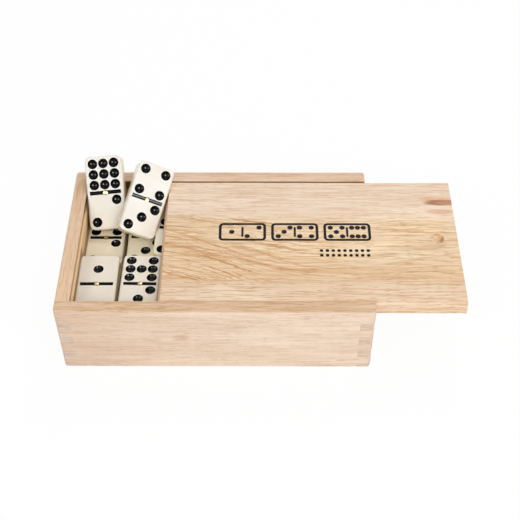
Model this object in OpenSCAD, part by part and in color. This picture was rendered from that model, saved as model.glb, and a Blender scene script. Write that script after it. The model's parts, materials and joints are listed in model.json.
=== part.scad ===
// Domino storage box: finger-jointed wooden case with a sliding dovetail lid, a double-nine
// set packed in two rows of four layers, and two tiles leaning out over the back wall.
// Millimetres. +X is the way the lid slides out, +Y the back, +Z up.
// The origin is the centre of the case's underside.

/* [Case] */
// Outside length along the lid's travel
case_l = 190; // [170:1:230]
// Outside depth from front to back
case_d = 120; // [116:1:130]
// Outside height, flush with the closed lid
case_h = 53; // [53:0.5:60]
// Thickness of the four walls
wall_t = 8.8; // [8:0.1:9]
// Thickness of the bottom panel
base_t = 4; // [3:0.5:5]
// How far the bottom panel is let into each wall
rabbet = 4.3; // [3:0.1:5]
// Radius of the upright outside corners
corner_r = 2.8; // [1:0.1:4]
// Chamfer along the top and bottom outside arrises
arris = 0.5; // [0.2:0.1:1]
// Height of one finger of the corner joints
finger_h = 6.6; // [5:0.1:8]
// Height of the lowest finger, which is cut short
foot_finger_h = 3.4; // [2:0.1:6]

/* [Lid] */
// Length of the lid's top face
lid_l = 182.2; // [160:0.1:182.2]
// Width of the lid's top face
lid_w = 100.5; // [99:0.1:101.6]
// Thickness of the lid
lid_t = 8.5; // [7:0.1:9]
// Height of the upright band at the foot of the bevelled edges
lid_edge_h = 2.4; // [1.5:0.1:4]
// How far the bevelled edges reach out under the walls' lips
bevel_run = 2.2; // [1.5:0.1:2.4]
// How far the lid stands open
lid_open = 53.1; // [53.1:0.1:60]
// Gap between the lid's near edge and the lip it is pushed against
lid_gap = 0.4; // [0.2:0.1:0.6]
// Width of the thumb notch
notch_d = 8.2; // [6:0.1:20]
// Depth of the thumb notch at its steep side
notch_depth = 4.2; // [2:0.1:5]
// Distance from the lid's open end to the middle of the thumb notch
notch_inset = 12.7; // [10:0.1:30]

/* [Tiles] */
// Width of a tile
tile_w = 24.1; // [22:0.1:24.1]
// Length of a tile
tile_l = 47.6; // [44:0.1:47.6]
// Thickness of a tile
tile_t = 8.9; // [8:0.1:8.9]
// Corner radius of a tile
tile_r = 4; // [1:0.5:5]
// Chamfer round a tile's two faces
tile_edge = 0.8; // [0.4:0.1:1.2]
// Diameter of a pip at the tile's face
pip_d = 6.3; // [4:0.1:6.4]
// Depth of a pip
pip_depth = 2; // [0.4:0.1:2.4]
// Distance between neighbouring rows and columns of pips
pip_pitch = 6.9; // [6.6:0.1:7]
// Length of the dividing bar
bar_l = 20.4; // [14:0.1:21]
// Width of the dividing bar
bar_w = 2.5; // [1.5:0.1:3]
// Depth of the dividing bar
bar_depth = 0.7; // [0.4:0.1:1]

/* [Pins] */
// Diameter of the brass pin in the middle of each tile
pin_d = 3.2; // [2.4:0.1:4]
// How deep the pin goes into the tile
pin_depth = 2.6; // [2:0.1:5]
// How far the pin's domed head stands above the tile's face
pin_proud = 0.4; // [0.2:0.1:0.4]

/* [Hidden] */
$fn = 32;
eps = 1;
pin_fit = 0.03;

// heights
ledge_z = case_h - lid_t;
lid_lift = 0.05;
layer_h = tile_t + pin_proud;

// places of the walls' inner faces, measured from the middle
inner_x = case_l / 2 - wall_t;
inner_y = case_d / 2 - wall_t;

// the channel that the lid runs in
channel_depth = bevel_run + 0.2;
lip_z = ledge_z + lid_edge_h;
lid_left = -inner_x + lid_gap + lid_open;
lid_right = lid_left + lid_l;
lid_near = -inner_y + lid_gap;
lid_far = lid_near + lid_w;

// radii of the balls and the bar that cut the pips and the divider
pip_ball = (pow(pip_d / 2, 2) + pow(pip_depth, 2)) / (2 * pip_depth);
bar_ball = (pow(bar_w / 2, 2) + pow(bar_depth, 2)) / (2 * bar_depth);
half_y = 12;
pin_r = pin_d / 2 - pin_fit;
dome_h = 0.3;
dome_ball = (pow(pin_r, 2) + pow(dome_h, 2)) / (2 * dome_h);

// where the rows and columns of tiles lie
columns = 7;
front_y = -inner_y + tile_l / 2 + 0.2;
rear_y = front_y + tile_l + 0.8;
column_x = [for (i = [0 : columns - 1]) i == 0 ? -74.05 : i == 1 ? -47.3 : -22.7 + 24.2 * (i - 2)];

// tiles in plain view that lie flat: upper number, lower number, x, y, layer, turn
FLAT = [
    [1, 0, -74, -27.2, 4, 0.3],
    [7, 3, -47.4, -27, 4, -0.9],
    [4, 2, -74.05, 20.5, 3, 0],
    [5, 3, -47.4, 21.2, 3, 0],
    [3, 2, -28.4, 20.5, 4, -2.5],
];
// tiles that lean on the back wall: upper number, lower number, middle, [swing, lean, spin]
LEANING = [
    [9, 2, [-73.5, 41.5, 51.6], [-4.6, 41.6, 8.7]],
    [4, 3, [-47.6, 34, 52.2], [29.8, 41.5, -40.2]],
];

// the other 48 tiles of a double-nine set, dealt into the stacks by a fixed stride
function shown(a, b) =
    len([for (t = concat(FLAT, LEANING)) if (t[0] == a && t[1] == b) 1]) > 0;
REST = [for (a = [0 : 9]) for (b = [0 : a]) if (!shown(a, b)) [a, b]];
deal_stride = 29;
function dealt(i) = REST[(i * deal_stride) % len(REST)];

// which columns of each layer the dealt tiles fill, front row and then rear row
all_columns = [for (i = [0 : columns - 1]) i];
FRONT = [all_columns, all_columns, all_columns, [3, 4, 5, 6]];
REAR = [all_columns, all_columns, [2, 3, 4, 5, 6], [3, 4, 5, 6]];
function count_before(rows, layer) =
    layer <= 1 ? 0 : len(rows[layer - 2]) + count_before(rows, layer - 1);
front_total = count_before(FRONT, 5);

// ---- shared shapes -------------------------------------------------------------------------

// rectangle with true round corners, centred
module rounded_plan(l, d, r) {
    square([l - 2 * r, d], center = true);
    square([l, d - 2 * r], center = true);
    for (sx = [-1, 1], sy = [-1, 1])
        translate([sx * (l / 2 - r), sy * (d / 2 - r)]) circle(r);
}

// section whose sloping sides chamfer a slab of width w and height h by c; spread makes the
// section overshoot the slab's two faces
module chamfer_section(w, h, c, spread) {
    side = w / 2 - c;
    polygon([
        [side - spread, -spread], [side + h / 2, h / 2], [side - spread, h + spread],
        [-side + spread, h + spread], [-side - h / 2, h / 2], [-side + spread, -spread]
    ]);
}

// slab with round upright corners and chamfered faces, standing on z = 0
module eased_slab(l, d, h, r, c) {
    intersection() {
        translate([0, 0, -eps]) linear_extrude(h + 2 * eps) rounded_plan(l, d, r);
        rotate([90, 0, 0])
            linear_extrude(d + 2 * eps, center = true) chamfer_section(l, h, c, 0);
        rotate([90, 0, 90])
            linear_extrude(l + 2 * eps, center = true) chamfer_section(d, h, c, eps);
    }
}

// ---- case ----------------------------------------------------------------------------------

// the space swept by the lid's channel: undercut on both long sides and at the left end
module lid_channel() {
    low = ledge_z;
    high = case_h + eps;
    slope = channel_depth / (case_h - lip_z);
    top_in = -eps * slope;
    intersection() {
        rotate([90, 0, 90])
            translate([0, 0, -case_l])
                linear_extrude(2 * case_l)
                    polygon([
                        [-inner_y - channel_depth, low], [inner_y + channel_depth, low],
                        [inner_y + channel_depth, lip_z], [inner_y + top_in, high],
                        [-inner_y - top_in, high], [-inner_y - channel_depth, lip_z]
                    ]);
        rotate([90, 0, 0])
            translate([0, 0, -case_d])
                linear_extrude(2 * case_d)
                    polygon([
                        [-inner_x - channel_depth, low - eps], [case_l, low - eps],
                        [case_l, high + eps], [-inner_x - 2 * top_in, high + eps],
                        [-inner_x - channel_depth, lip_z]
                    ]);
    }
}

// heights at which the end walls' fingers come through the long walls: [from, to]
function end_fingers() =
    concat([[-eps, foot_finger_h]],
        [for (i = [0 : 2]) [foot_finger_h + (2 * i + 1) * finger_h,
            foot_finger_h + (2 * i + 2) * finger_h]]);

module case_envelope() {
    eased_slab(case_l, case_d, case_h, corner_r, arris);
}

module base_recess() {
    translate([0, 0, (base_t - eps) / 2])
        cube([case_l - 2 * (wall_t - rabbet), case_d - 2 * (wall_t - rabbet), base_t + eps],
            center = true);
}

// a long wall, front (side = -1) or back (side = 1)
module long_wall(side) {
    difference() {
        intersection() {
            case_envelope();
            translate([-case_l, side > 0 ? inner_y : -inner_y - 2 * wall_t, -eps])
                cube([2 * case_l, 2 * wall_t, case_h + 2 * eps]);
        }
        for (end = [-1, 1])
            for (f = end_fingers())
                translate([end * (case_l / 2 + eps) - (end > 0 ? wall_t + eps : 0),
                        side * case_d / 2 - 2 * wall_t, f[0]])
                    cube([wall_t + eps, 4 * wall_t, f[1] - f[0]]);
        lid_channel();
        base_recess();
    }
}

module front_wall() {
    color("burlywood") long_wall(-1);
}

module back_wall() {
    color("burlywood") long_wall(1);
}

// an end wall, left (side = -1) or right (side = 1), up to height h
module end_wall(side, h) {
    inside = inner_x;
    color("tan")
        difference() {
            intersection() {
                case_envelope();
                translate([side > 0 ? inside : -inside - 2 * wall_t, -case_d, -eps])
                    cube([2 * wall_t, 2 * case_d, h + eps]);
                union() {
                    translate([-case_l, -inner_y, -2 * eps])
                        cube([2 * case_l, 2 * inner_y, case_h + 4 * eps]);
                    for (f = end_fingers())
                        translate([-case_l, -case_d, f[0]])
                            cube([2 * case_l, 2 * case_d, f[1] - f[0]]);
                }
            }
            lid_channel();
            base_recess();
        }
}

module left_end_wall() {
    end_wall(-1, case_h + eps);
}

module right_end_wall() {
    end_wall(1, ledge_z);
}

module base_panel() {
    fit = 0.1;
    color("wheat")
        translate([0, 0, base_t / 2])
            cube([case_l - 2 * (wall_t - rabbet) - 2 * fit,
                case_d - 2 * (wall_t - rabbet) - 2 * fit, base_t], center = true);
}

// ---- lid -----------------------------------------------------------------------------------

module thumb_notch() {
    floor_tilt = atan(notch_depth / notch_d);
    translate([lid_right - notch_inset, 0, case_h])
        intersection() {
            translate([0, 0, -notch_depth]) cylinder(d = notch_d, h = notch_depth + eps);
            translate([-notch_d / 2, 0, 0])
                rotate([0, floor_tilt, 0])
                    translate([0, -notch_d, 0]) cube([2 * notch_d, 2 * notch_d, notch_d]);
        }
}

module lid() {
    bottom = ledge_z + lid_lift;
    color("navajowhite")
        difference() {
            intersection() {
                rotate([90, 0, 90])
                    translate([0, 0, lid_left - 2 * bevel_run])
                        linear_extrude(lid_l + 2 * bevel_run)
                            polygon([
                                [lid_near - bevel_run, bottom], [lid_far + bevel_run, bottom],
                                [lid_far + bevel_run, lip_z], [lid_far, case_h],
                                [lid_near, case_h], [lid_near - bevel_run, lip_z]
                            ]);
                rotate([90, 0, 0])
                    linear_extrude(2 * case_d, center = true)
                        polygon([
                            [lid_left - bevel_run, bottom - eps], [lid_right, bottom - eps],
                            [lid_right, case_h + eps],
                            [lid_left + bevel_run * eps / (case_h - lip_z), case_h + eps],
                            [lid_left - bevel_run, lip_z]
                        ]);
            }
            thumb_notch();
        }
}

// ---- tiles ---------------------------------------------------------------------------------

// places of n pips on a three by three grid, in steps of pip_pitch
function pips(n) = concat(
    n % 2 == 1 ? [[0, 0]] : [],
    n >= 2 ? [[1, 1], [-1, -1]] : [],
    n >= 4 ? [[-1, 1], [1, -1]] : [],
    n >= 6 ? [[-1, 0], [1, 0]] : [],
    n >= 8 ? [[0, 1], [0, -1]] : []);

module pip_dishes(n, y) {
    for (p = pips(n))
        translate([p[0] * pip_pitch, y + p[1] * pip_pitch, tile_t - pip_depth + pip_ball])
            sphere(pip_ball);
}

// a tile with its upper and lower numbers; it stands on z = 0, its face up
module tile(upper, lower) {
    difference() {
        eased_slab(tile_w, tile_l, tile_t, tile_r, tile_edge);
        pip_dishes(upper, half_y);
        pip_dishes(lower, -half_y);
        translate([0, 0, tile_t - bar_depth + bar_ball])
            rotate([0, 90, 0]) cylinder(r = bar_ball, h = bar_l, center = true);
        translate([0, 0, tile_t - pin_depth]) cylinder(d = pin_d, h = pin_depth + eps);
    }
}

// the domed brass pin of a tile that stands on z = 0
module pin() {
    translate([0, 0, tile_t + pin_proud])
        rotate_extrude()
            intersection() {
                translate([0, -pin_depth - pin_proud])
                    square([pin_r, pin_depth + pin_proud + eps]);
                union() {
                    translate([0, -dome_ball]) circle(dome_ball, $fn = 96);
                    translate([0, -pin_depth - pin_proud])
                        square([pin_r, pin_depth + pin_proud - dome_h]);
                }
            }
}

// the dealt tiles of one layer, or their pins
module layer_of(rows, layer, first, y, pins) {
    start = first + count_before(rows, layer);
    cols = rows[layer - 1];
    color(pins ? "gold" : "ivory")
        for (i = [0 : len(cols) - 1])
            translate([column_x[cols[i]], y, base_t + (layer - 1) * layer_h])
                if (pins) pin();
                else tile(dealt(start + i)[0], dealt(start + i)[1]);
}

module front_tiles(layer) {
    layer_of(FRONT, layer, 0, front_y, false);
}

module front_pins(layer) {
    layer_of(FRONT, layer, 0, front_y, true);
}

module rear_tiles(layer) {
    layer_of(REAR, layer, front_total, rear_y, false);
}

module rear_pins(layer) {
    layer_of(REAR, layer, front_total, rear_y, true);
}

// a tile that lies flat in plain view, or its pin
module flat_tile(i, pins) {
    t = FLAT[i];
    color(pins ? "gold" : "ivory")
        translate([t[2], t[3], base_t + (t[4] - 1) * layer_h])
            rotate([0, 0, t[5]])
                if (pins) pin();
                else tile(t[0], t[1]);
}

// a tile that leans on the back wall, or its pin
module leaning_tile(i, pins) {
    t = LEANING[i];
    color(pins ? "gold" : "ivory")
        translate(t[2])
            rotate([0, 0, t[3][0]]) rotate([t[3][1], 0, 0]) rotate([0, 0, t[3][2]])
                translate([0, 0, -tile_t / 2])
                    if (pins) pin();
                    else tile(t[0], t[1]);
}

front_wall();
back_wall();
left_end_wall();
right_end_wall();
base_panel();
lid();
front_tiles(1);  // front_tiles_1
front_tiles(2);  // front_tiles_2
front_tiles(3);  // front_tiles_3
front_tiles(4);  // front_tiles_4
rear_tiles(1);  // rear_tiles_1
rear_tiles(2);  // rear_tiles_2
rear_tiles(3);  // rear_tiles_3
rear_tiles(4);  // rear_tiles_4
front_pins(1);  // front_pins_1
front_pins(2);  // front_pins_2
front_pins(3);  // front_pins_3
front_pins(4);  // front_pins_4
rear_pins(1);  // rear_pins_1
rear_pins(2);  // rear_pins_2
rear_pins(3);  // rear_pins_3
rear_pins(4);  // rear_pins_4
flat_tile(0, false);  // tile_1_0
flat_tile(1, false);  // tile_7_3
flat_tile(2, false);  // tile_4_2
flat_tile(3, false);  // tile_5_3
flat_tile(4, false);  // tile_3_2
leaning_tile(0, false);  // tile_9_2
leaning_tile(1, false);  // tile_4_3
flat_tile(0, true);  // pin_1_0
flat_tile(1, true);  // pin_7_3
flat_tile(2, true);  // pin_4_2
flat_tile(3, true);  // pin_5_3
flat_tile(4, true);  // pin_3_2
leaning_tile(0, true);  // pin_9_2
leaning_tile(1, true);  // pin_4_3
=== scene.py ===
import json
import math

import bmesh
import bpy
from mathutils import Matrix, Vector

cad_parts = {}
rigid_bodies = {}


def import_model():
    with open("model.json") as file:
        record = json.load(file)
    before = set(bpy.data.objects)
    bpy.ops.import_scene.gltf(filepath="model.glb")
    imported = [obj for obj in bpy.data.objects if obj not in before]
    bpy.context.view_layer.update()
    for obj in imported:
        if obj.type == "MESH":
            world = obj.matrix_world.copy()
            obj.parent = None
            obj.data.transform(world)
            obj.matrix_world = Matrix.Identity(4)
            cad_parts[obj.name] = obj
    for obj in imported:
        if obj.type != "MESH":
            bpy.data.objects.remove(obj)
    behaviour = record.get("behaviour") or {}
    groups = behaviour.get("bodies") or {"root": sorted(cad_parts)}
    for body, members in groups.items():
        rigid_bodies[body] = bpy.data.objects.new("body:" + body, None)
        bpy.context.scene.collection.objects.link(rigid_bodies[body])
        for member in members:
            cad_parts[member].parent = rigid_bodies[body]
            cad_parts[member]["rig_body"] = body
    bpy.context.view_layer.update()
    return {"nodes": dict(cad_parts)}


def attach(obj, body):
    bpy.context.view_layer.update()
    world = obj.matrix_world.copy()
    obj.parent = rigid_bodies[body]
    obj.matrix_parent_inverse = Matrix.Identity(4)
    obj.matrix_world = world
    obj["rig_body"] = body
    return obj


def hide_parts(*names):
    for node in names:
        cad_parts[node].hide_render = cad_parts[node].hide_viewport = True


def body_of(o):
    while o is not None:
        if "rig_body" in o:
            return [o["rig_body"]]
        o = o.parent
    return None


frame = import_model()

MM = 0.001


# ---------------------------------------------------------------- camera, stage and light

def set_camera():
    """Puts the camera in front of the case, looking down into it."""
    lens = bpy.data.cameras.new("camera")
    lens.lens = 71.45
    lens.sensor_width = 36
    lens.clip_start = 0.01
    camera = bpy.data.objects.new("camera", lens)
    bpy.context.scene.collection.objects.link(camera)
    turn = (
        Matrix.Rotation(math.radians(0.3), 4, "Z")
        @ Matrix.Rotation(math.radians(41.943), 4, "X")
        @ Matrix.Rotation(math.radians(-0.118), 4, "Z")
    )
    camera.matrix_world = Matrix.Translation((0.0287, -0.44009, 0.52242)) @ turn
    bpy.context.scene.camera = camera


def set_light():
    """Softboxes at the right and left of the camera, in front and behind, and the two bright
    panels that glossy faces mirror."""
    softboxes = (
        ("right_softbox", (0.62, -0.80, 0.92), (0.60, 0.60), 6.0, True),
        ("left_softbox", (-0.60, -0.72, 0.84), (0.40, 0.50), 3.4, True),
        ("front_softbox", (0.50, -1.20, 0.36), (0.9, 0.5), 1.9, True),
        ("back_softbox", (0.20, 0.62, 0.85), (0.30, 0.30), 2.6, True),
        ("right_panel", (0.56, -0.90, 0.84), (0.46, 0.52), 42.0, False),
        ("left_panel", (-0.98, -0.58, 0.66), (0.22, 0.60), 14.0, False),
    )
    for name, place, size, watts, lights_matt in softboxes:
        lamp = bpy.data.lights.new(name, "AREA")
        lamp.shape = "RECTANGLE"
        lamp.size, lamp.size_y = size
        lamp.energy = watts
        box = bpy.data.objects.new(name, lamp)
        box.visible_diffuse = lights_matt
        bpy.context.scene.collection.objects.link(box)
        aim = Vector((0.0, 0.0, 0.03)) - Vector(place)
        turn = aim.to_track_quat("-Z", "Y").to_matrix().to_4x4()
        box.matrix_world = Matrix.Translation(place) @ turn


def white_to_camera(tree, lit, strength):
    """Shows plain white straight to the camera and in reflections, and the lit shader otherwise."""
    path = tree.nodes.new("ShaderNodeLightPath")
    seen = tree.nodes.new("ShaderNodeMath")
    seen.operation = "MAXIMUM"
    tree.links.new(path.outputs["Is Camera Ray"], seen.inputs[0])
    glossy = tree.nodes.new("ShaderNodeMath")
    glossy.operation = "MAXIMUM"
    tree.links.new(path.outputs["Is Glossy Ray"], glossy.inputs[0])
    tree.links.new(path.outputs["Is Transmission Ray"], glossy.inputs[1])
    tree.links.new(glossy.outputs[0], seen.inputs[1])
    share = tree.nodes.new("ShaderNodeMath")
    share.operation = "MULTIPLY"
    share.inputs[1].default_value = strength
    tree.links.new(seen.outputs[0], share.inputs[0])
    mix = tree.nodes.new("ShaderNodeMixShader")
    tree.links.new(share.outputs[0], mix.inputs[0])
    tree.links.new(lit, mix.inputs[1])
    return mix


def set_world():
    """An even pale surround, plain white where the camera sees it."""
    world = bpy.data.worlds.new("pale_room")
    world.use_nodes = True
    bpy.context.scene.world = world
    tree = world.node_tree
    tree.nodes.clear()
    room = tree.nodes.new("ShaderNodeBackground")
    room.inputs["Color"].default_value = (1.0, 0.99, 0.975, 1)
    room.inputs["Strength"].default_value = 0.47
    white = tree.nodes.new("ShaderNodeBackground")
    white.inputs["Color"].default_value = (1, 1, 1, 1)
    white.inputs["Strength"].default_value = 1.0
    output = tree.nodes.new("ShaderNodeOutputWorld")
    mix = white_to_camera(tree, room.outputs[0], 1.0)
    tree.links.new(white.outputs[0], mix.inputs[2])
    tree.links.new(mix.outputs[0], output.inputs["Surface"])


def lay_floor():
    """A plain white table top that keeps a faint shadow of the case."""
    bpy.ops.mesh.primitive_plane_add(size=6, location=(0, 0, 0))
    floor = bpy.context.object
    floor.name = "floor"
    skin = bpy.data.materials.new("white_table")
    skin.use_nodes = True
    tree = skin.node_tree
    tree.nodes.clear()
    paint = tree.nodes.new("ShaderNodeBsdfDiffuse")
    paint.inputs["Color"].default_value = (0.93, 0.93, 0.93, 1)
    glow = tree.nodes.new("ShaderNodeEmission")
    glow.inputs["Color"].default_value = (1, 1, 1, 1)
    glow.inputs["Strength"].default_value = 1.0
    output = tree.nodes.new("ShaderNodeOutputMaterial")
    mix = white_to_camera(tree, paint.outputs[0], 0.95)
    tree.links.new(glow.outputs[0], mix.inputs[2])
    tree.links.new(mix.outputs[0], output.inputs["Surface"])
    floor.data.materials.append(skin)


# ---------------------------------------------------------------- finishes

def linear(red, green, blue):
    """A colour given as it looks, from 0 to 255, as the shader's numbers."""
    steps = [value / 255 for value in (red, green, blue)]
    flat = [s / 12.92 if s <= 0.04045 else ((s + 0.055) / 1.055) ** 2.4 for s in steps]
    return (*flat, 1.0)


class Finish:
    """One material, and short ways to add and join its nodes."""

    def __init__(self, name):
        """Starts a material whose patterns lie still on the piece that wears it."""
        self.material = bpy.data.materials.new(name)
        self.material.use_nodes = True
        self.tree = self.material.node_tree
        self.shader = self.tree.nodes["Principled BSDF"]
        self.lead = self.tree.nodes.new("ShaderNodeTexCoord").outputs["Object"]

    def join(self, value, socket):
        """Sets a socket to a number or colour, or joins another socket to it."""
        if isinstance(value, bpy.types.NodeSocket):
            self.tree.links.new(value, socket)
        else:
            socket.default_value = value

    def math(self, kind, a, b=0.0, c=0.0):
        """One step of arithmetic on numbers or sockets."""
        step = self.tree.nodes.new("ShaderNodeMath")
        step.operation = kind
        for value, socket in zip((a, b, c), step.inputs):
            self.join(value, socket)
        return step.outputs[0]

    def axes(self, order="xyz"):
        """The place on the piece in millimetres, one socket for each axis in the order asked."""
        scale = self.tree.nodes.new("ShaderNodeVectorMath")
        scale.operation = "SCALE"
        scale.inputs["Scale"].default_value = 1000.0
        self.join(self.lead, scale.inputs[0])
        apart = self.tree.nodes.new("ShaderNodeSeparateXYZ")
        self.join(scale.outputs[0], apart.inputs[0])
        return [apart.outputs["xyz".index(axis)] for axis in order]

    def sum_of_squares(self, a, b):
        """a squared plus b squared."""
        return self.math("ADD", self.math("MULTIPLY", a, a), self.math("MULTIPLY", b, b))

    def from_oval(self, x, y, centre, size):
        """0 at the centre of an oval and 1 on its rim, where size gives its half axes."""
        along = self.math("DIVIDE", self.math("SUBTRACT", x, centre[0]), size[0])
        across = self.math("DIVIDE", self.math("SUBTRACT", y, centre[1]), size[1])
        return self.sum_of_squares(along, across)

    def vector(self, x, y, z):
        """Puts three values together as one place."""
        together = self.tree.nodes.new("ShaderNodeCombineXYZ")
        for value, socket in zip((x, y, z), together.inputs):
            self.join(value, socket)
        return together.outputs[0]

    def stretched(self, x, y, z, size):
        """A pattern's coordinates, where size gives how far one cell reaches along each axis."""
        parts = [self.math("DIVIDE", axis, reach) for axis, reach in zip((x, y, z), size)]
        return self.vector(*parts)

    def noise(self, place, detail=2.0, rough=0.5):
        """Soft clouds, from 0 to 1."""
        cloud = self.tree.nodes.new("ShaderNodeTexNoise")
        self.join(place, cloud.inputs["Vector"])
        cloud.inputs["Scale"].default_value = 1.0
        cloud.inputs["Detail"].default_value = detail
        cloud.inputs["Roughness"].default_value = rough
        return cloud.outputs["Fac"]

    def rings(self, distance, detail=2.0, rough=0.5):
        """Uneven lines that depend on one distance alone."""
        cloud = self.tree.nodes.new("ShaderNodeTexNoise")
        cloud.noise_dimensions = "1D"
        self.join(distance, cloud.inputs["W"])
        cloud.inputs["Scale"].default_value = 1.0
        cloud.inputs["Detail"].default_value = detail
        cloud.inputs["Roughness"].default_value = rough
        return cloud.outputs["Fac"]

    def cells(self, place):
        """Scattered cells: the distance from each one's middle, and a random number for each."""
        spread = self.tree.nodes.new("ShaderNodeTexVoronoi")
        self.join(place, spread.inputs["Vector"])
        spread.inputs["Scale"].default_value = 1.0
        apart = self.tree.nodes.new("ShaderNodeSeparateColor")
        self.join(spread.outputs["Color"], apart.inputs[0])
        return spread.outputs["Distance"], apart.outputs[0]

    def ramp(self, value, start, end, low=0.0, high=1.0, kind="LINEAR"):
        """Goes straight from low at start to high at end."""
        step = self.tree.nodes.new("ShaderNodeMapRange")
        step.interpolation_type = kind
        ends = {"Value": value, "From Min": start, "From Max": end, "To Min": low, "To Max": high}
        for name, amount in ends.items():
            self.join(amount, step.inputs[name])
        return step.outputs[0]

    def fade(self, value, start, end, low=0.0, high=1.0):
        """Goes smoothly from low at start to high at end."""
        return self.ramp(value, start, end, low, high, "SMOOTHSTEP")

    def near(self, value, centre, reach):
        """1 where value is at the centre, fading to 0 at that reach from it."""
        off = self.math("ABSOLUTE", self.math("SUBTRACT", value, centre))
        return self.fade(off, 0.0, reach, 1.0, 0.0)

    def curve(self, value, points, span):
        """The height of a smooth curve through the points, which lie inside the span."""
        low, high = span
        part = self.ramp(value, low, high)
        line = self.tree.nodes.new("ShaderNodeFloatCurve")
        self.join(part, line.inputs["Value"])
        spots = line.mapping.curves[0].points
        levels = [level for _, level in points]
        bottom, top = min(levels) - 1.0, max(levels) + 1.0
        wide, tall = high - low, top - bottom
        places = [((at - low) / wide, (level - bottom) / tall) for at, level in points]
        spots[0].location = (0.0, places[0][1])
        spots[1].location = (1.0, places[-1][1])
        for at, level in places:
            if 0.001 < at < 0.999:
                spots.new(at, level)
        line.mapping.update()
        return self.math("MULTIPLY_ADD", line.outputs[0], tall, bottom)

    def mix(self, share, a, b, kind="MIX"):
        """Goes from colour a to colour b by that share."""
        blend = self.tree.nodes.new("ShaderNodeMix")
        blend.data_type = "RGBA"
        blend.blend_type = kind
        self.join(share, blend.inputs["Factor"])
        colours = [s for s in blend.inputs if s.type == "RGBA"]
        self.join(a, colours[0])
        self.join(b, colours[1])
        return [s for s in blend.outputs if s.type == "RGBA"][0]

    def relief(self, height, depth):
        """Small relief in the surface, depth in metres."""
        bump = self.tree.nodes.new("ShaderNodeBump")
        bump.inputs["Strength"].default_value = 1.0
        bump.inputs["Distance"].default_value = depth
        self.join(height, bump.inputs["Height"])
        self.join(bump.outputs[0], self.shader.inputs["Normal"])

    def close(self, colour, roughness, gloss, height, depth):
        """Gives the surface its colour, roughness, gloss and relief, and returns the material."""
        self.join(colour, self.shader.inputs["Base Color"])
        self.join(roughness, self.shader.inputs["Roughness"])
        self.shader.inputs["Specular IOR Level"].default_value = gloss
        self.relief(height, depth)
        return self.material


def grain(finish, place, ring_y, pith, run, waver):
    """The growth of the timber, each part from 0 to 1: ring lines, slow tone, streaks, thin dark
    lines, fibres and pores. pith is how far the middle of the trunk lies from the piece, across
    the grain, in millimetres. ring_y is the place across the grain that the rings follow. run
    makes the streaks and lines longer or shorter, and waver is how far they stray sideways.
    """
    x, y, z = place
    sway = finish.noise(finish.stretched(x, y, z, (110, 60, 60)), detail=2.0)
    aside = finish.math("ADD", finish.math("MULTIPLY_ADD", sway, 16.0, pith[0] - 8.0), ring_y)
    below = finish.math("ADD", z, pith[1])
    reach = finish.math("SQRT", finish.sum_of_squares(aside, below))
    rings = finish.rings(finish.math("DIVIDE", reach, 1.7), detail=3.0, rough=0.65)
    tone = finish.noise(finish.stretched(x, y, z, (70, 13, 13)), detail=2.0)
    chatter = finish.noise(finish.stretched(x, y, z, (7.5, 5, 5)), detail=2.0)
    y = finish.math("ADD", y, finish.math("MULTIPLY_ADD", chatter, waver, -0.5 * waver))
    streak = finish.noise(finish.stretched(x, y, z, (26 * run, 1.7, 1.7)), detail=2.0, rough=0.6)
    line = finish.noise(finish.stretched(x, y, z, (15 * run, 0.85, 0.85)), detail=1.0, rough=0.5)
    fibre = finish.noise(finish.stretched(x, y, z, (6, 0.35, 0.35)), detail=2.0, rough=0.6)
    off, luck = finish.cells(finish.stretched(x, y, z, (8.0, 0.8, 0.8)))
    pore = finish.fade(off, 0.10, 0.34, 1.0, 0.0)
    pore = finish.math("MULTIPLY", pore, finish.fade(luck, 0.35, 0.7))
    return (
        finish.fade(rings, 0.40, 0.66),
        finish.fade(tone, 0.32, 0.68),
        finish.fade(streak, 0.42, 0.68),
        finish.fade(line, 0.52, 0.72),
        fibre,
        pore,
    )


# How strongly each part of the growth shows, in the order that grain gives them.
PLAIN = (0.10, 0.30, 0.30, 0.50, 0.18, 0.45)
BOLD = (0.22, 0.30, 0.38, 0.62, 0.20, 0.55)
CALM = (0.14, 0.32, 0.26, 0.38, 0.30, 0.35)
BROAD = (0.20, 0.20, 0.26, 0.85, 0.42, 0.75)


def timber(
    name, along, pale, deep, pore_tone, strength=PLAIN,
    pith=(-6.0, 48.0), seed=0.0, bend=None, run=1.0, waver=2.4,
):
    """Lacquered light hardwood cut along the grain. Returns the finish, the place on the piece in
    millimetres with the grain along the first axis, the colour and the relief. bend may move the
    place across the grain, so that the rings curve.
    """
    finish = Finish(name)
    x, y, z = finish.axes({"x": "xyz", "y": "yxz"}[along])
    ring_y = bend(finish, x, y) if bend else y
    seen = (finish.math("ADD", x, seed * 137.0), y, finish.math("ADD", z, seed * 31.0))
    rings, tone, streak, line, fibre, pore = grain(
        finish, seen, ring_y, (pith[0], pith[1] - seed * 31.0), run, waver
    )
    ring_share, tone_share, streak_share, line_share, fibre_share, pore_share = strength
    share = finish.math("MULTIPLY", rings, ring_share)
    share = finish.math("MULTIPLY_ADD", tone, tone_share, share)
    share = finish.math("MULTIPLY_ADD", streak, streak_share, share)
    share = finish.math("MULTIPLY_ADD", line, line_share, share)
    share = finish.math("MULTIPLY_ADD", fibre, fibre_share, share)
    colour = finish.mix(share, pale, deep)
    colour = finish.mix(finish.math("MULTIPLY", pore, pore_share), colour, pore_tone)
    height = finish.math("MULTIPLY_ADD", fibre, 0.5, finish.math("MULTIPLY", pore, -0.6))
    return finish, (x, y, z), colour, height


def close_timber(finish, colour, height):
    """Joins the colour and relief of the timber to its thin satin lacquer."""
    return finish.close(colour, 0.56, 0.18, height, 0.06 * MM)


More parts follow.
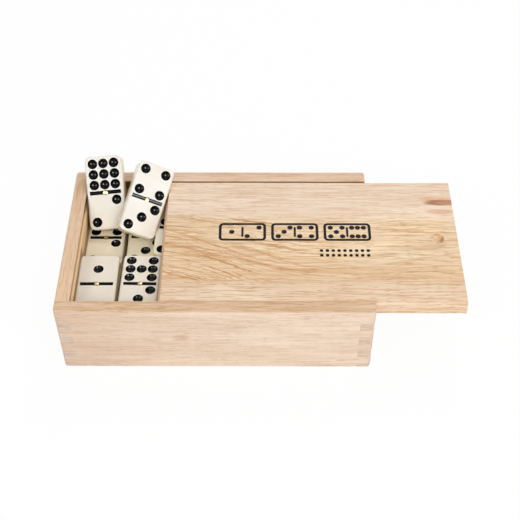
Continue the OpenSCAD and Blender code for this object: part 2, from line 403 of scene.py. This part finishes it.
# The tones of each cut of the timber: pale, deep and, where they differ, in the pores.
FACE_TONES = linear(235, 215, 196), linear(209, 180, 154), linear(180, 142, 114)
EDGE_PALE, EDGE_DEEP, EDGE_PORE = linear(232, 204, 176), linear(200, 160, 122), linear(160, 112, 74)
# The inner faces' tones are golden and set lighter than the rest: the extra lightness is painted
# light, making up for the shade inside the case.
INNER_TONES = linear(244, 212, 170), linear(220, 181, 134), EDGE_PORE
LID_TONES = linear(251, 236, 218), linear(217, 182, 149), linear(179, 134, 102)


def wall_wood(name, along, seed):
    """The broad faces of the walls and the bottom: pinkish, with fine short pores."""
    finish, place, colour, height = timber(name, along, *FACE_TONES, seed=seed)
    return close_timber(finish, colour, height)


def front_wood():
    """The front wall's broad face, with painted shade that greys and darkens it towards its left
    end, away from the light at the right, and a small pin knot.
    """
    finish, (x, y, z), colour, height = timber("front_wall_wood", "x", *FACE_TONES, seed=1.0)
    # Painted shade: the face is greyed and darkened towards its left end.
    left_painted_shade = finish.fade(x, -10.0, -95.0)
    colour = finish.mix(left_painted_shade, colour, linear(246, 241, 237), "MULTIPLY")
    eye = finish.fade(finish.from_oval(x, z, (-20.9, 29.1), (6.0, 3.4)), 0.0, 1.4, 0.42, 0.0)
    return close_timber(finish, finish.mix(eye, colour, linear(186, 138, 100)), height)


def edge_wood(name, along, seed, strength, pale=EDGE_PALE):
    """The walls' narrow top faces: deeper, with bolder streaks."""
    tones = pale, EDGE_DEEP, EDGE_PORE
    finish, place, colour, height = timber(name, along, *tones, strength, seed=seed)
    return close_timber(finish, colour, height)


def channel_wood(name, along, seed, inner, row_end):
    """The inner faces of the walls: bare and golden, with painted shade dark deep under the lip and
    down beside the tiles. inner is how far the inner face lies from the middle of the case, and the
    tiles stand a layer higher up to row_end along the wall."""
    finish, (x, y, z), colour, height = timber(name, along, *INNER_TONES, CALM, seed=seed)
    # Painted shade: the deep corner of the lid's channel, the face under the lip and the gaps down
    # beside the tiles are darkened with brown.
    depth = finish.math("SUBTRACT", finish.math("ABSOLUTE", y), inner)
    shelf_painted_shade = finish.math("MULTIPLY", finish.fade(depth, 0.9, 1.5), finish.fade(z, 43.6, 44.2))
    under = finish.math("MULTIPLY", finish.fade(z, 44.7, 45.1), finish.fade(z, 52.9, 52.3))
    by_row = finish.fade(x, row_end + 1.0, row_end - 1.0)
    crevice_painted_shade = finish.math("MULTIPLY", finish.fade(z, 44.3, 43.7), by_row)
    crevice_painted_shade = finish.math("MAXIMUM", crevice_painted_shade, finish.fade(z, 37.4, 36.2))
    shade = finish.math("MAXIMUM", finish.math("MAXIMUM", shelf_painted_shade, under), crevice_painted_shade)
    colour = finish.mix(finish.math("MULTIPLY", shade, 0.62), colour, linear(118, 76, 40))
    return close_timber(finish, colour, height)


def bevel_wood():
    """The lid's ends, planed across the grain: close short marks, with a line scored half way
    down the slope, and painted shade on the bored wall of the thumb notch."""
    finish = Finish("lid_bevel_wood")
    x, y, z = finish.axes()
    marks = finish.noise(finish.stretched(x, y, z, (30, 0.7, 6)), detail=2.0, rough=0.6)
    colour = finish.mix(finish.fade(marks, 0.36, 0.64), linear(248, 218, 192), linear(224, 180, 146))
    # Painted shade: the bored wall of the thumb notch is darkened.
    bored = finish.math("MULTIPLY", finish.fade(x, 125.0, 130.0), finish.fade(x, 148.6, 148.0))
    colour = finish.mix(finish.math("MULTIPLY", bored, 0.85), colour, linear(204, 160, 108))
    left_end = finish.fade(x, 0.0, -10.0, 0.0, 0.4)
    scored = finish.math("MULTIPLY", finish.near(z, 50.6, 0.9), left_end)
    colour = finish.mix(scored, colour, linear(150, 98, 64))
    return close_timber(finish, colour, marks)


def end_grain(name, along, pale, deep):
    """The sawn ends of the planks: closed dots in place of long fibres, and a greyer tone."""
    finish = Finish(name)
    x, y, z = finish.axes({"x": "xyz", "y": "yxz"}[along])
    off, luck = finish.cells(finish.stretched(x, y, z, (3.0, 0.6, 0.6)))
    dots = finish.fade(off, 0.1, 0.42, 1.0, 0.0)
    dots = finish.math("MULTIPLY", dots, finish.fade(luck, 0.3, 0.8))
    bands = finish.noise(finish.stretched(x, y, z, (40, 9, 1.3)), detail=3.0, rough=0.6)
    colour = finish.mix(finish.fade(bands, 0.36, 0.66), pale, deep)
    colour = finish.mix(finish.math("MULTIPLY", dots, 0.4), colour, linear(164, 124, 96))
    return finish.close(colour, 0.6, 0.18, finish.math("MULTIPLY", dots, -1.0), 0.05 * MM)


# How far the middle strip's grain has slid towards the front, along the lid, in millimetres.
LID_FLOW = [
    (-37.0, 7.0), (-20.4, 1.8), (-4.6, -4.2), (8.0, -10.0), (20.4, -15.8), (38.7, -20.7),
    (56.0, -23.6), (85.0, -25.4), (118.0, -24.6), (151.0, -26.0),
]
# Dark streaks where the saw left the growth rings at a slant, as (X, Y) in millimetres, with
# each one's half width and strength.
LID_STREAKS = (
    ([(-34.0, 8.3), (-24.9, 4.3), (-10.9, -1.6), (-1.4, -5.8), (9.0, -9.6)], 1.5, 0.65),
    ([(-33.5, -3.6), (-19.9, -7.6), (-1.2, -14.2), (14.2, -17.8), (26.5, -21.5), (44.7, -25.8),
      (66.0, -26.4)], 2.6, 0.65),
    ([(9.1, -6.8), (27.7, -11.9), (41.8, -19.0), (50.9, -22.0), (72.0, -24.6)], 1.5, 0.62),
    ([(-34.5, -25.2), (-26.6, -30.3), (-15.6, -33.0), (-4.7, -35.3)], 1.7, 0.68),
    ([(50.8, -24.9), (80.0, -25.9), (111.4, -26.2), (151.0, -26.9)], 1.4, 0.4),
    ([(104.0, -21.2), (118.0, -18.9), (136.9, -14.7), (151.0, -11.0)], 1.4, 0.42),
    ([(77.2, -43.0), (109.5, -47.2), (146.0, -49.6)], 1.0, 0.45),
)


# The knot's parts, from the outside in, each with its centre and reach on the lid in
# millimetres, its tint and strength.
KNOT = (
    ((139.0, 34.6), (13.0, 2.2), (226, 160, 100), 0.55),
    ((143.0, 31.6), (13.5, 3.1), (148, 90, 58), 0.85),
    ((146.5, 31.4), (10.0, 1.9), (200, 142, 104), 0.8),
    ((141.0, 23.6), (11.0, 3.0), (214, 168, 134), 0.65),
)


def lid_bend(finish, x, y):
    """The rings of the lid's middle strip sweep towards the front from the left end."""
    sweep = finish.curve(x, LID_FLOW, (-37.0, 151.0))
    sweep = finish.math("MULTIPLY", sweep, finish.ramp(y, 24.0, -35.0, 0.3, 1.0))
    return finish.math("SUBTRACT", y, sweep)


def lid_streak(finish, x, y, points, half, strength):
    """One streak, which fades out over its last few millimetres at each end."""
    start, end = points[0][0], points[-1][0]
    middle = finish.curve(x, points, (start, end))
    line = finish.near(y, middle, half)
    ends = finish.math(
        "MULTIPLY",
        finish.fade(x, start - 3.0, start + 2.0),
        finish.fade(x, end - 9.0, end, 1.0, 0.0),
    )
    return finish.math("MULTIPLY", finish.math("MULTIPLY", line, ends), strength)


def lid_wood():
    """The lid: glued strips of differing tone, slanting streaks and a small knot."""
    finish, (x, y, z), colour, height = timber(
        "lid_wood", "x", *LID_TONES, BROAD, pith=(14.0, 70.0), bend=lid_bend, run=1.1, waver=1.3
    )
    waver = finish.noise(finish.stretched(x, y, z, (26, 9, 9)), detail=3.0)
    y_soft = finish.math("ADD", y, finish.math("MULTIPLY_ADD", waver, 9.0, -4.5))
    golden = finish.fade(y_soft, 22.5, 13.5)
    golden = finish.math("MULTIPLY", golden, finish.fade(y_soft, -38.0, -32.0))
    far_side = finish.fade(y_soft, 14.0, 24.0)
    colour = finish.mix(finish.math("MULTIPLY", far_side, 0.3), colour, linear(238, 213, 190))
    colour = finish.mix(golden, colour, linear(251, 246, 230), "MULTIPLY")
    near_side = finish.fade(y_soft, -32.0, -37.0)
    colour = finish.mix(near_side, colour, linear(246, 242, 234), "MULTIPLY")
    colour = arcs(finish, (x, y, z), golden, colour)
    step = finish.noise(finish.stretched(x, y, z, (11, 1.2, 30)), detail=2.0, rough=0.6)
    y_step = finish.math("ADD", y, finish.math("MULTIPLY_ADD", step, 3.4, -1.7))
    split = finish.noise(finish.stretched(x, y, z, (16, 0.9, 30)), detail=2.0)
    for points, half, strength in LID_STREAKS:
        dark = lid_streak(finish, x, y_step, points, half, strength)
        dark = finish.math("MULTIPLY", dark, finish.fade(split, 0.34, 0.6, 0.3, 1.0))
        colour = finish.mix(dark, colour, linear(190, 130, 76))
    for seam, strength in ((41.2, 0.22), (-35.1, 0.12)):
        line = finish.near(y, seam, 0.4)
        colour = finish.mix(finish.math("MULTIPLY", line, strength), colour, linear(160, 112, 76))
    colour = knot(finish, (x, y, z), colour)
    bevel = finish.fade(y, -50.5, -50.8)
    for level, reach, strength in ((52.9, 0.5, 0.4), (48.6, 2.4, 0.16)):
        band = finish.math("MULTIPLY", bevel, finish.near(z, level, reach))
        colour = finish.mix(finish.math("MULTIPLY", band, strength), colour, linear(206, 150, 96))
    return close_timber(finish, colour, height)


def arcs(finish, place, share, colour):
    """Thin broken growth lines that follow the sweep of the lid's middle strip."""
    x, y, z = place
    chatter = finish.noise(finish.stretched(x, y, z, (8, 2.2, 30)), detail=2.0)
    bent = finish.math("MULTIPLY_ADD", chatter, 2.4, lid_bend(finish, x, y))
    line = finish.noise(finish.stretched(x, bent, z, (46, 0.85, 30)), detail=1.0, rough=0.5)
    patch = finish.noise(finish.stretched(x, bent, z, (60, 9, 30)), detail=2.0)
    dark = finish.math("MULTIPLY", finish.fade(line, 0.52, 0.62), share)
    dark = finish.math("MULTIPLY", dark, finish.fade(patch, 0.38, 0.62, 0.35, 1.0))
    dark = finish.math("MULTIPLY", dark, finish.fade(x, 90.0, 20.0, 0.5, 0.85))
    return finish.mix(dark, colour, linear(192, 136, 84))


def knot(finish, place, colour):
    """A small long knot at the lid's open end, reddish with a dark rim, and the stained grain
    beside it."""
    x, y, z = place
    ripple = finish.noise(finish.stretched(x, y, z, (7, 1.0, 30)), detail=2.0)
    y_wavy = finish.math("ADD", y, finish.math("MULTIPLY_ADD", ripple, 2.4, -1.2))
    for centre, size, tint, strength in KNOT:
        off = finish.from_oval(x, y_wavy, centre, size)
        share = finish.math("MULTIPLY", finish.fade(off, 0.25, 1.0, 1.0, 0.0), strength)
        colour = finish.mix(share, colour, linear(*tint))
    return colour


def ivory_resin(name, pale, deep, painted_reflection_share):
    """Cream cast resin, faintly cloudy, polished, and by that share warmer low in the case: painted
    reflection of the warm wood around it.
    """
    finish = Finish(name)
    x, y, z = finish.axes()
    cloud = finish.noise(finish.stretched(x, y, z, (14, 14, 14)), detail=3.0)
    colour = finish.mix(finish.fade(cloud, 0.3, 0.7), pale, deep)
    # Painted reflection: the resin turns warmer lower down, for the light thrown back by the wood of
    # the case.
    colour = finish.mix(finish.fade(z, 58.0, 38.0, 0.0, painted_reflection_share), colour, linear(230, 214, 184))
    finish.shader.inputs["Subsurface Weight"].default_value = 0.2
    finish.shader.inputs["Subsurface Radius"].default_value = (0.9, 0.7, 0.4)
    finish.shader.inputs["Subsurface Scale"].default_value = 0.0016
    ripple = finish.noise(finish.stretched(x, y, z, (6, 6, 6)), detail=2.0)
    return finish.close(colour, 0.13, 0.16, ripple, 0.02 * MM)


def black_enamel():
    """Glossy enamel poured into the pips and bars."""
    finish = Finish("black_enamel")
    x, y, z = finish.axes()
    cloud = finish.noise(finish.stretched(x, y, z, (2, 2, 2)), detail=2.0)
    colour = finish.mix(cloud, linear(3, 3, 4), linear(8, 8, 9))
    return finish.close(colour, 0.1, 0.11, cloud, 0.02 * MM)


def turned_brass(name, pale, deep):
    """The small pin in the middle of each tile, with fine turning marks."""
    finish = Finish(name)
    x, y, z = finish.axes()
    marks = finish.noise(finish.stretched(x, y, z, (0.5, 0.5, 0.1)), detail=2.0)
    colour = finish.mix(marks, pale, deep)
    finish.shader.inputs["Metallic"].default_value = 1.0
    return finish.close(colour, finish.fade(marks, 0.2, 0.8, 0.18, 0.32), 0.5, marks, 0.01 * MM)


def dark_ink():
    """The brown-black ink printed on the lid, a little paler in short streaks along the grain."""
    finish = Finish("dark_ink")
    x, y, z = finish.axes()
    wear = finish.noise(finish.stretched(x, y, z, (5, 0.4, 0.4)), detail=3.0)
    colour = finish.mix(finish.fade(wear, 0.35, 0.75), linear(22, 17, 22), linear(48, 39, 40))
    return finish.close(colour, 0.6, 0.1, wear, 0.01 * MM)


# ---------------------------------------------------------------- pieces

# How far the timber's sharp edges are rounded.
ARRIS = 0.22 * MM
# A wall's face counts as an inner one when its middle lies within these, along x and y from the
# middle of the case and upwards from its foot, in millimetres.
INSIDE = (93.0, 58.0, 52.8)
# A corner this close to a tile's top counts as on it, and no recess is deeper than the other.
TOP_SLACK, DEEPEST_RECESS = 0.02 * MM, 3.5 * MM
# How wide the darker rim of a pin's head is, painted reflection of the black bar around it.
PIN_RIM = 0.42 * MM

def choose_only(piece):
    """Leaves only this piece selected and active."""
    bpy.ops.object.select_all(action="DESELECT")
    piece.select_set(True)
    bpy.context.view_layer.objects.active = piece


def welded_copy(node, name):
    """A copy of a node's mesh with its loose triangles welded into whole faces."""
    source = frame["nodes"][node]
    mesh = source.data.copy()
    mesh.materials.clear()
    piece = bpy.data.objects.new(name, mesh)
    bpy.context.scene.collection.objects.link(piece)
    choose_only(piece)
    bpy.ops.object.mode_set(mode="EDIT")
    bpy.ops.mesh.select_all(action="SELECT")
    bpy.ops.mesh.customdata_custom_splitnormals_clear()
    bpy.ops.mesh.remove_doubles(threshold=0.002 * MM)
    bpy.ops.mesh.dissolve_limited(angle_limit=math.radians(0.4))
    bpy.ops.object.mode_set(mode="OBJECT")
    return piece


def soften(piece):
    """Rounds the sharp edges of a piece a little."""
    choose_only(piece)
    round_edges = piece.modifiers.new("soft_edges", "BEVEL")
    round_edges.width = ARRIS
    round_edges.segments = 2
    round_edges.limit_method = "ANGLE"
    round_edges.angle_limit = math.radians(30)
    round_edges.use_clamp_overlap = True
    bpy.ops.object.modifier_apply(modifier="soft_edges")


def stand_for(piece, node):
    """The piece takes its node's place and moves with that node's body."""
    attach(piece, body_of(frame["nodes"][node])[0])
    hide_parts(node)


def wooden(node, along, long_grain, sawn_end, top_grain=None, inner=None):
    """A plank, panel or lid, with end grain wherever a face crosses the grain, and where they are
    given other finishes on the faces that look up and on those inside the case."""
    piece = welded_copy(node, node + "_wood")
    soften(piece)
    for finish in (long_grain, sawn_end, top_grain or long_grain, inner or long_grain):
        piece.data.materials.append(finish)
    axis = "xyz".index(along)
    for face in piece.data.polygons:
        inside = all(abs(part) / MM < limit for part, limit in zip(face.center, INSIDE))
        if inner and inside:
            face.material_index = 3
        elif abs(face.normal[axis]) > 0.8:
            face.material_index = 1
        elif face.normal.z > 0.8:
            face.material_index = 2
    choose_only(piece)
    bpy.ops.object.shade_smooth_by_angle(angle=math.radians(32))
    stand_for(piece, node)


def recess_faces(mesh, up):
    """The faces of the pips, bar and pin hole: all that the outside of the tile doesn't reach
    without crossing its top."""
    shape = bmesh.new()
    shape.from_mesh(mesh)
    shape.faces.ensure_lookup_table()
    found = set()
    left = set(shape.faces)
    while left:
        solid = island(left)
        height = max(corner.co.dot(up) for face in solid for corner in face.verts)
        near_top = height - TOP_SLACK
        sides = {f for f in solid if min(c.co.dot(up) for c in f.verts) < near_top}
        while sides:
            part = island(sides)
            low = min(corner.co.dot(up) for face in part for corner in face.verts)
            if low > height - DEEPEST_RECESS:
                found.update(face.index for face in part)
    shape.free()
    return found


def island(faces):
    """Takes one joined group of faces out of a set, and returns it."""
    group = [faces.pop()]
    for face in group:
        for edge in face.edges:
            for other in edge.link_faces:
                if other in faces:
                    faces.remove(other)
                    group.append(other)
    return group


def tile_up(swing, lean):
    """The way that a tile faces, from how it is turned and leant."""
    turned = Matrix.Rotation(math.radians(swing), 3, "Z")
    leant = Matrix.Rotation(math.radians(lean), 3, "X")
    return turned @ leant @ Vector((0, 0, 1))


def tiles(node, face_resin, side_resin_painted_reflection, enamel, up):
    """A tile, or a layer of them, with yellower sides, painted reflection of the warm light in the
    gaps, and with enamel in its recesses.
    """
    piece = welded_copy(node, node + "_resin")
    for finish in (face_resin, enamel, side_resin_painted_reflection):
        piece.data.materials.append(finish)
    for face in piece.data.polygons:
        face.material_index = 0 if face.normal.dot(up) > 0.4 else 2
    for index in recess_faces(piece.data, up):
        piece.data.polygons[index].material_index = 1
    choose_only(piece)
    bpy.ops.object.shade_smooth_by_angle(angle=math.radians(20))
    stand_for(piece, node)


def pins(node, brass, rim_brass_painted_reflection, up):
    """The brass pin of a tile, or of a layer of them, with a painted dark rim round its head, the
    black bar around it mirrored there.
    """
    piece = welded_copy(node, node + "_brass")
    piece.data.materials.append(brass)
    piece.data.materials.append(rim_brass_painted_reflection)
    for face in piece.data.polygons:
        face.select = face.normal.dot(up) > 0.95
        face.material_index = 0 if face.select else 1
    choose_only(piece)
    bpy.ops.object.mode_set(mode="EDIT")
    bpy.ops.mesh.inset(thickness=PIN_RIM, use_boundary=True, use_even_offset=True)
    # The ring left by the inset, and the pin's sides, take the painted dark rim.
    bpy.ops.mesh.select_all(action="INVERT")
    bpy.context.object.active_material_index = 1
    bpy.ops.object.material_slot_assign()
    bpy.ops.object.mode_set(mode="OBJECT")
    bpy.ops.object.shade_smooth_by_angle(angle=math.radians(40))
    stand_for(piece, node)


def make_case():
    """The four walls, the bottom and the lid."""
    back_face = wall_wood("back_wall_wood", "x", 2.0)
    end_face = wall_wood("end_wall_wood", "y", 3.0)
    top_x = edge_wood("front_edge_wood", "x", 5.0, BOLD)
    top_y = edge_wood("end_edge_wood", "y", 6.0, CALM)
    top_back = edge_wood("back_edge_wood", "x", 5.0, CALM, linear(237, 213, 193))
    inner_x = channel_wood("long_channel_wood", "x", 7.0, 51.2, -200.0)
    inner_y = channel_wood("end_channel_wood", "y", 8.0, 86.2, 1.0)
    sawn_x = end_grain("long_sawn_end", "x", linear(222, 200, 180), linear(202, 174, 150))
    sawn_y = end_grain("right_sawn_end", "y", linear(222, 200, 180), linear(202, 174, 150))
    # The left end wall's sawn ends take a greyer, darker copy of the end grain: painted shade, like
    # that on the front face's left end.
    left_sawn_painted_shade = end_grain("left_sawn_end_painted_shade", "y", linear(212, 194, 178), linear(190, 168, 150))
    wooden("front_wall", "x", front_wood(), sawn_x, top_x, inner_x)
    wooden("back_wall", "x", back_face, sawn_x, top_back, inner_x)
    wooden("left_end_wall", "y", end_face, left_sawn_painted_shade, top_y, inner_y)
    wooden("right_end_wall", "y", end_face, sawn_y, top_y, inner_y)
    wooden("base_panel", "x", wall_wood("base_panel_wood", "x", 4.0), sawn_x)
    wooden("lid", "x", lid_wood(), bevel_wood())


# The print on the lid. Sizes are in metres, and places on the lid in millimetres.
PRINT_Z = 53.05 * MM
INK_THICK = 0.03 * MM
OUTLINE = (29.6 * MM, 15.2 * MM)
BAND = 1.7 * MM
OUTLINE_CORNER = 2.8 * MM
OUTLINE_PLACES = ((15.4, (1, 2)), (48.2, (3, 4)), (81.0, (5, 6)))
OUTLINE_Y = 5.4
HALF_STEP, PIP_STEP = 6.7, 3.7
DOT_ROWS = (-10.4, -14.3)
FIRST_DOT, DOT_STEP = 64.4, 3.6


def printed_dot(radius):
    """A round dot of ink, which stands on the lid's face at the middle."""
    bpy.ops.object.select_all(action="DESELECT")
    bpy.ops.mesh.primitive_circle_add(
        vertices=28, radius=radius, fill_type="NGON", location=(0, 0, PRINT_Z)
    )
    return raise_ink("printed_dot")


def rounded_patch(width, height, corner, segments):
    """A flat rounded rectangle at the middle of the lid's face, left open in edit mode."""
    bpy.ops.object.select_all(action="DESELECT")
    bpy.ops.mesh.primitive_plane_add(size=1, location=(0, 0, PRINT_Z))
    bpy.ops.object.mode_set(mode="EDIT")
    bpy.ops.mesh.select_all(action="SELECT")
    bpy.ops.transform.resize(value=(width, height, 1))
    bpy.ops.mesh.bevel(offset=corner, segments=segments, affect="VERTICES")


def printed_outline():
    """The rounded outline of a tile."""
    rounded_patch(*OUTLINE, OUTLINE_CORNER, 6)
    bpy.ops.mesh.select_all(action="SELECT")
    bpy.ops.mesh.inset(thickness=BAND, depth=0)
    bpy.ops.mesh.delete(type="ONLY_FACE")
    bpy.ops.object.mode_set(mode="OBJECT")
    return raise_ink("printed_outline")


def printed_bar():
    """The bar across the middle of an outlined tile."""
    rounded_patch(BAND * 0.8, OUTLINE[1] - 4 * BAND, BAND * 0.3, 3)
    bpy.ops.object.mode_set(mode="OBJECT")
    return raise_ink("printed_bar")


def raise_ink(name):
    """Gives the flat shape that was just made the thickness of a coat of ink."""
    shape = bpy.context.object
    shape.name = name
    bpy.ops.object.mode_set(mode="EDIT")
    bpy.ops.mesh.select_all(action="SELECT")
    bpy.ops.mesh.normals_make_consistent(inside=False)
    bpy.ops.mesh.extrude_region_move(TRANSFORM_OT_translate={"value": (0, 0, INK_THICK)})
    bpy.ops.mesh.select_all(action="SELECT")
    bpy.ops.mesh.normals_make_consistent(inside=False)
    bpy.ops.object.mode_set(mode="OBJECT")
    choose_only(shape)
    bpy.ops.object.transform_apply(location=True, rotation=True, scale=True)
    return shape


def stamp(shape, x, y):
    """A copy of a printed shape with its own mesh, moved over the lid to x, y in millimetres."""
    copy = bpy.data.objects.new(shape.name, shape.data.copy())
    bpy.context.scene.collection.objects.link(copy)
    copy.data.transform(Matrix.Translation((x * MM, y * MM, 0)))
    return copy


def pip_places(number):
    """Where the pips of a number go, in steps from the middle of a half."""
    places = [(0, 0)] if number % 2 else []
    if number >= 2:
        places += [(1, 1), (-1, -1)]
    if number >= 4:
        places += [(-1, 1), (1, -1)]
    if number >= 6:
        places += [(0, 1), (0, -1)]
    return places


def print_lid(ink):
    """Three tiles in outline, and two short rows of nine dots below them."""
    outline, bar = printed_outline(), printed_bar()
    dot, small_dot = printed_dot(1.7 * MM), printed_dot(1.15 * MM)
    marks = []
    for middle, (left, right) in OUTLINE_PLACES:
        marks += [stamp(outline, middle, OUTLINE_Y), stamp(bar, middle, OUTLINE_Y)]
        for half, number in ((middle - HALF_STEP, left), (middle + HALF_STEP, right)):
            for a, b in pip_places(number):
                marks.append(stamp(dot, half + PIP_STEP * a, OUTLINE_Y + PIP_STEP * b))
    for row in DOT_ROWS:
        marks += [stamp(small_dot, FIRST_DOT + DOT_STEP * place, row) for place in range(9)]
    for model in (outline, bar, dot, small_dot):
        bpy.data.objects.remove(model)
    choose_only(marks[0])
    for mark in marks:
        mark.select_set(True)
    bpy.ops.object.join()
    printed = bpy.context.object
    printed.name = "lid_print"
    printed.data.materials.append(ink)
    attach(printed, "lid_body")


# How far the two leaning tiles are swung round and leant, in degrees.
LEANING = {"9_2": (-4.6, 41.6), "4_3": (29.8, 41.5)}
WHITEST = ("tile_9_2", "tile_4_3", "tile_1_0", "tile_7_3")


def make_tiles():
    """All the tiles and their pins. Four are whiter than the rest, which take a yellower copy of the
    resin: painted reflection of the wood around them.
    """
    whiter_resin = ivory_resin("ivory_resin", linear(238, 234, 229), linear(233, 228, 219), 0.35)
    # Painted reflection: the tiles other than the four whitest take this warmer, yellower copy of
    # the resin, for the wood's light around them.
    yellower_resin_painted_reflection = ivory_resin("ivory_resin_painted_reflection", linear(244, 236, 215), linear(238, 227, 200), 0.0)
    # Painted reflection: the tiles' sides take a yellower copy of the resin, for the warm light in
    # the gaps between them.
    side = ivory_resin("ivory_side_resin_painted_reflection", linear(240, 231, 202), linear(231, 220, 184), 0.0)
    enamel = black_enamel()
    brass = turned_brass("polished_brass", linear(222, 204, 160), linear(190, 164, 110))
    # Painted reflection: a dark copy of the brass for the rim of each pin's head.
    rim_brass_painted_reflection = turned_brass("brass_painted_dark_rim", linear(120, 98, 62), linear(96, 74, 42))
    for node in sorted(frame["nodes"]):
        up = tile_up(*LEANING.get(node[-3:], (0.0, 0.0)))
        if "pin" in node:
            pins(node, brass, rim_brass_painted_reflection, up)
        elif "tile" in node:
            resin = whiter_resin if node in WHITEST else yellower_resin_painted_reflection
            tiles(node, resin, side, enamel, up)


bpy.context.scene.view_settings.view_transform = "Standard"
set_camera()
set_light()
set_world()
lay_floor()
make_case()
print_lid(dark_ink())
make_tiles()
